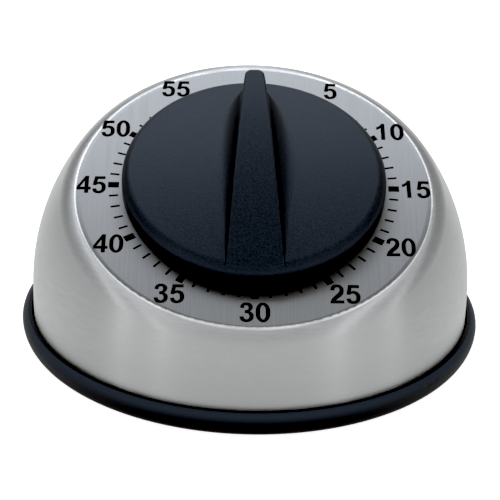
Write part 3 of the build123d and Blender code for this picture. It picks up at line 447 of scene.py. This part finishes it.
def hammer_leaf():
    """The hammer's leaf spring, cut into short lengths: held in its stud, its free end on the lever."""
    into_dial = dial_place.inverted()
    spots = [into_dial @ vertex.co for vertex in frame["nodes"]["hammer_spring"].data.vertices]
    low = Vector([min(spot[axis] for spot in spots) for axis in range(3)])
    high = Vector([max(spot[axis] for spot in spots) for axis in range(3)])
    middle = (low + high) / 2
    form = bmesh.new()
    block = Matrix.Translation(middle) @ Matrix.Diagonal((*(high - low), 1.0))
    bmesh.ops.create_cube(form, size=1.0, matrix=block)
    lengthways = [edge for edge in form.edges if edge.calc_length() > (high - low).x / 2]
    bmesh.ops.subdivide_edges(form, edges=lengthways, cuts=LEAF_CUTS, use_grid_fill=True)
    bmesh.ops.transform(form, matrix=dial_place, verts=form.verts)
    bmesh.ops.recalc_face_normals(form, faces=form.faces)
    mesh = bpy.data.meshes.new("hammer_leaf")
    form.to_mesh(mesh)
    form.free()
    piece = link_mesh("hammer_leaf", mesh, steel_blued)
    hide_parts("hammer_spring")
    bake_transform(piece)


hammer_leaf()


# Floor, light and camera

# Strength of the soft light from each side
FRONT_WALL = 0.65
SIDE_WALLS = 0.30
BACK_WALL = 0.8
CEILING = 0.46
TABLE = 1.0
SHADE = 0.3
FLOOR_HALF = 6.0


def pale_floor():
    """A plain white paper floor under the feet."""
    material, tree, shader, place = new_material("paper_matt_white", Emission_Strength=0.85,
                                                  Emission_Color=linear("#FFFFFF"))
    value = grain_noise(tree, place, (0.8, 0.8, 0.8), on_dial=False)
    paint(tree, shader, two_colours(tree, value, "#F4F4F4", "#F8F8F8"))
    rough_between(tree, shader, value, 0.85, 0.95)
    form = bmesh.new()
    bmesh.ops.create_grid(form, x_segments=1, y_segments=1, size=FLOOR_HALF)
    mesh = bpy.data.meshes.new("floor")
    form.to_mesh(mesh)
    form.free()
    floor = link_mesh("floor", mesh, material)
    # Only the camera sees the floor: the lower half of the world lights the timer in its place
    floor.visible_glossy = False
    floor.visible_diffuse = False
    floor.visible_shadow = False


def soft_light(name, spot, aim, width, height, radiance, code="#FFFFFF"):
    """A flat soft light at a spot, aimed at a point, of the given size and radiance."""
    light = bpy.data.lights.new(name, "AREA")
    light.shape = "RECTANGLE"
    light.size = width
    light.size_y = height
    light.energy = radiance * pi * width * height
    light.color = linear(code)[:3]
    lamp = bpy.data.objects.new(name, light)
    lamp.location = spot
    lamp.rotation_euler = (Vector(aim) - Vector(spot)).to_track_quat("-Z", "Y").to_euler()
    bpy.context.scene.collection.objects.link(lamp)


def studio_world():
    """Soft light all round: a bright table with a shaded spot below, and dimmer walls and ceiling."""
    world = bpy.data.worlds.new("studio")
    world.use_nodes = True
    tree = world.node_tree
    way = add(tree, "ShaderNodeTexCoord").outputs["Generated"]
    parts = add(tree, "ShaderNodeSeparateXYZ", {"Vector": way})

    side, up = parts.outputs["Y"], parts.outputs["Z"]
    front = smooth_step(tree, side, -0.6, 0.0, FRONT_WALL, SIDE_WALLS)
    walls = mix_numbers(tree, smooth_step(tree, side, 0.75, 0.95), front, BACK_WALL)
    above = mix_numbers(tree, smooth_step(tree, up, 0.6, 0.95), walls, CEILING)
    below = smooth_step(tree, up, -0.75, -0.4, SHADE, TABLE)
    strength = mix_numbers(tree, smooth_step(tree, up, -0.25, 0.15), below, above)
    tree.links.new(strength, tree.nodes["Background"].inputs["Strength"])
    tree.nodes["Background"].inputs["Color"].default_value = linear("#FFFFFF")
    bpy.context.scene.world = world


pale_floor()
studio_world()
soft_light("overhead", (-0.07, 0.47, 0.79), (0, 0, 0.03), 0.92, 0.42, 2.2, "#F2F7FF")
soft_light("left_near_strip", (-0.45, -0.47, 0.25), (0, 0, 0.02), 0.07, 0.5, 0.92)
soft_light("left_far_strip", (-0.59, -0.27, 0.25), (0, 0, 0.02), 0.07, 0.5, 1.3)
soft_light("right_near_strip", (0.43, -0.48, 0.25), (0, 0, 0.02), 0.08, 0.5, 0.85)
soft_light("right_far_strip", (0.62, -0.19, 0.25), (0, 0, 0.02), 0.08, 0.5, 1.0)
soft_light("left_top", (-0.29, -0.27, 0.70), (0, 0, 0.03), 0.12, 0.12, 1.8)
soft_light("right_top", (0.38, -0.22, 0.68), (0, 0, 0.03), 0.12, 0.12, 2.5)
# The darkest tones are pressed to black, as in the photograph
view = bpy.context.scene.view_settings
view.view_transform = "Standard"
view.use_curve_mapping = True
view.curve_mapping.black_level = (0.022, 0.025, 0.029)
view.curve_mapping.update()

# Camera fitted to the photograph: azimuth, elevation and roll round a target on the object
CAMERA_AZIMUTH = radians(-1.4232)
CAMERA_ELEVATION = radians(25.1803)
CAMERA_ROLL = radians(1.4409)
CAMERA_TARGET = Vector((-0.1995, 0.0, 16.2622)) * MM
CAMERA_DISTANCE = 340.7224 * MM

lens = bpy.data.cameras.new("camera")
lens.sensor_width = 36.0
lens.lens = 126.911
lens.clip_start = 0.01
back = Vector((
    sin(CAMERA_AZIMUTH) * cos(CAMERA_ELEVATION),
    -cos(CAMERA_AZIMUTH) * cos(CAMERA_ELEVATION),
    sin(CAMERA_ELEVATION),
))
level = Vector((0, 0, 1)).cross(back).normalized()
facing = Matrix((level, back.cross(level), back)).transposed().to_4x4()
camera = bpy.data.objects.new("camera", lens)
bpy.context.scene.collection.objects.link(camera)
spot = Matrix.Translation(CAMERA_TARGET + CAMERA_DISTANCE * back)
camera.matrix_world = spot @ facing @ Matrix.Rotation(CAMERA_ROLL, 4, "Z")
bpy.context.scene.camera = camera
